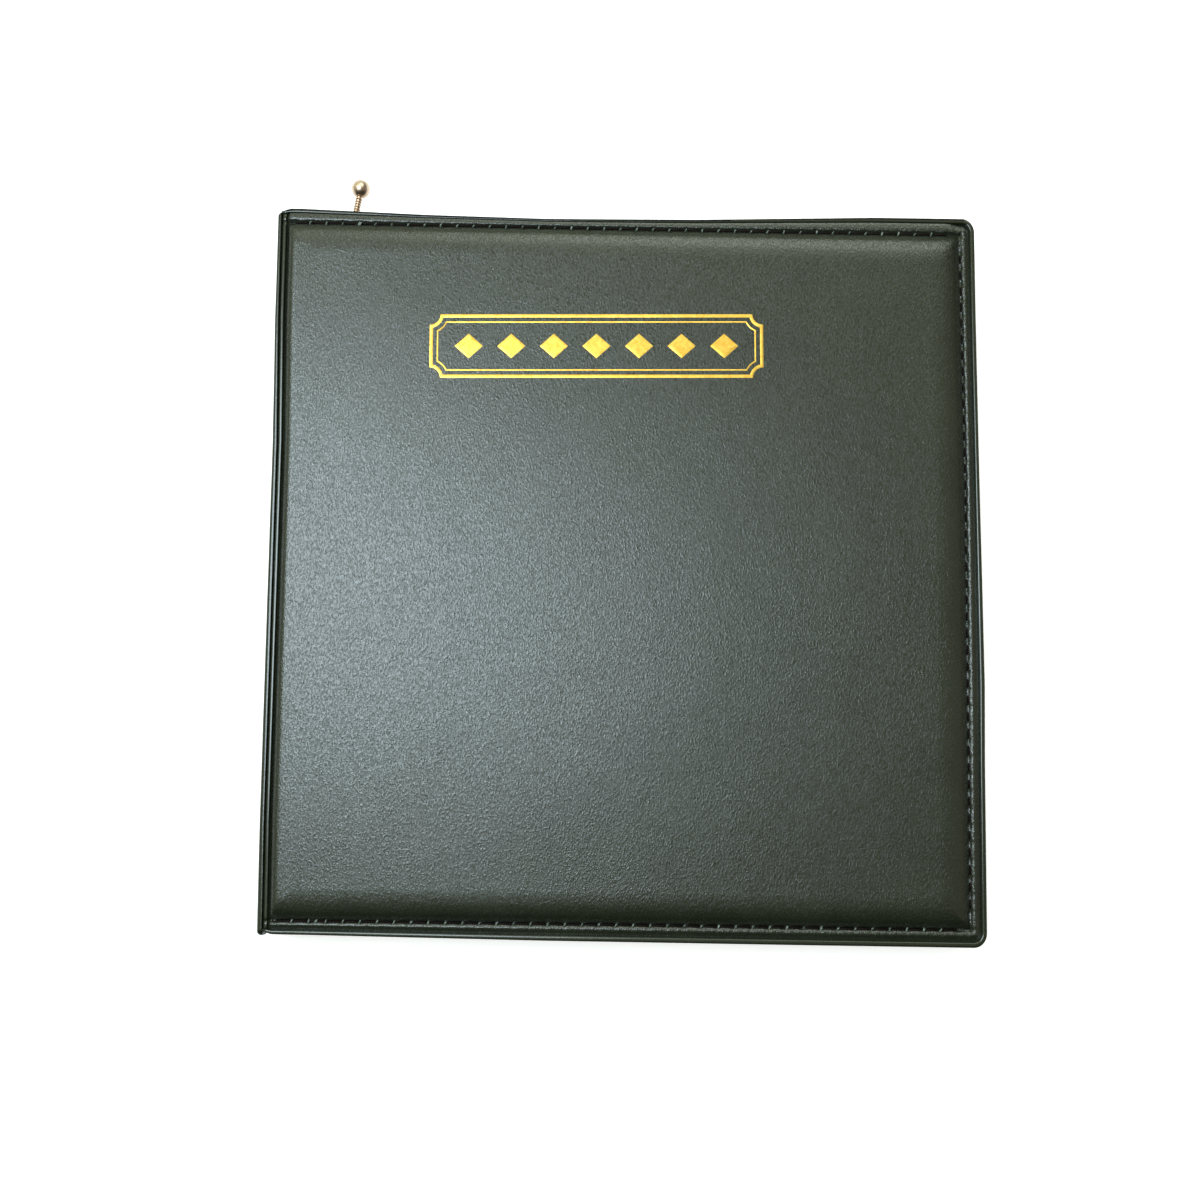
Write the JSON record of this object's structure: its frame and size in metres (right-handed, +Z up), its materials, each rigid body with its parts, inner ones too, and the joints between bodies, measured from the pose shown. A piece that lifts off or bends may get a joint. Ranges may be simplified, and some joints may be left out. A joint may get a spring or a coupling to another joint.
{
  "type": "travel board game folio case",
  "caption": "Folding leatherette folio with padded covers and a stiffened spine; holds a ribbed playing board, tile racks, tile pouch, score pad and pen.",
  "frame": {"origin": "centre of the back cover's outer face, which lies on the table when the case is closed", "axes": "+X from the spine to the fore-edge, +Y from the tail edge to the head edge, +Z up from the back cover's outer face to the front cover"},
  "size_m": [0.224, 0.2463, 0.0236],
  "materials": {
    "cover_leatherette": "embossed satin vinyl",
    "foam": "open-cell foam sheet",
    "greyboard": "uncoated greyboard",
    "lining": "fine woven lining",
    "thread": "twisted polyester thread",
    "gilt_foil": "hot-stamped foil",
    "board_styrene": "moulded",
    "board_print": "printed sheet",
    "pen_brass": "polished",
    "refill": "drawn tube",
    "elastic": "woven elastic",
    "rack_plastic": "moulded",
    "pouch_cloth": "woven cloth",
    "pocket_vinyl": "satin vinyl",
    "tile_plastic": "moulded",
    "stud_metal": "plated",
    "pad_paper": "ruled paper",
    "pad_card": "grey card",
    "binding_tape": "cloth tape"
  },
  "bodies": {
    "back_cover": {"back_skin": "cover_leatherette", "back_foam": "foam", "back_stiffener": "greyboard", "back_lining": "lining", "back_stitching": "thread", "board_plate": "board_styrene", "board_print": "board_print", "board_grid": "board_styrene", "pen_loop_lower": "elastic", "pen_loop_upper": "elastic"},
    "spine": {"spine_skin": "cover_leatherette", "spine_stiffener": "greyboard", "spine_lining": "lining"},
    "front_cover": {"front_skin": "cover_leatherette", "front_foam": "foam", "front_stiffener": "greyboard", "front_lining": "lining", "front_stitching": "thread", "gilt_ornament": "gilt_foil", "rack_strap_lower": "elastic", "rack_strap_upper": "elastic", "pouch_pocket": "pocket_vinyl", "pad_pocket": "pocket_vinyl"},
    "pen": {"pen_finial": "pen_brass", "pen_barrel": "pen_brass", "pen_nose": "pen_brass", "pen_refill": "refill"},
    "score_pad": {"score_pad_sheets": "pad_paper", "score_pad_backing": "pad_card", "score_pad_binding": "binding_tape"},
    "tile_pouch": {"tile_pouch": "pouch_cloth", "pouch_flap": "pouch_cloth", "pouch_stud_post": "stud_metal", "pouch_stud_cap": "stud_metal", "letter_tiles": "tile_plastic"},
    "rack_1": {"tile_rack_1": "rack_plastic"},
    "rack_2": {"tile_rack_2": "rack_plastic"},
    "rack_3": {"tile_rack_3": "rack_plastic"},
    "rack_4": {"tile_rack_4": "rack_plastic"}
  },
  "joints": [
    {"name": "spine_fold", "type": "hinge", "parent": "back_cover", "child": "spine", "pos_m": [-0.1108, 0, 0.0036], "axis": [0, -1, 0], "range_deg": [0, 90]},
    {"name": "cover_fold", "type": "hinge", "parent": "spine", "child": "front_cover", "pos_m": [-0.1108, 0, 0.02], "axis": [0, -1, 0], "range_deg": [0, 90]},
    {"name": "pen_slide", "type": "slide", "parent": "back_cover", "child": "pen", "axis": [0.1616, 0.9869, 0], "range_m": [0, 0.1]},
    {"name": "pad_slide", "type": "slide", "parent": "front_cover", "child": "score_pad", "axis": [1, 0, 0], "range_m": [0, 0.12]},
    {"name": "pouch_slide", "type": "slide", "parent": "front_cover", "child": "tile_pouch", "axis": [0, 1, 0], "range_m": [0, 0.06]},
    {"name": "rack_1_slide", "type": "slide", "parent": "front_cover", "child": "rack_1", "axis": [0, 1, 0], "range_m": [0, 0.1]},
    {"name": "rack_2_slide", "type": "slide", "parent": "front_cover", "child": "rack_2", "axis": [0, 1, 0], "range_m": [0, 0.1]},
    {"name": "rack_3_slide", "type": "slide", "parent": "front_cover", "child": "rack_3", "axis": [0, 1, 0], "range_m": [0, 0.1]},
    {"name": "rack_4_slide", "type": "slide", "parent": "front_cover", "child": "rack_4", "axis": [0, 1, 0], "range_m": [0, 0.1]}
  ]
}
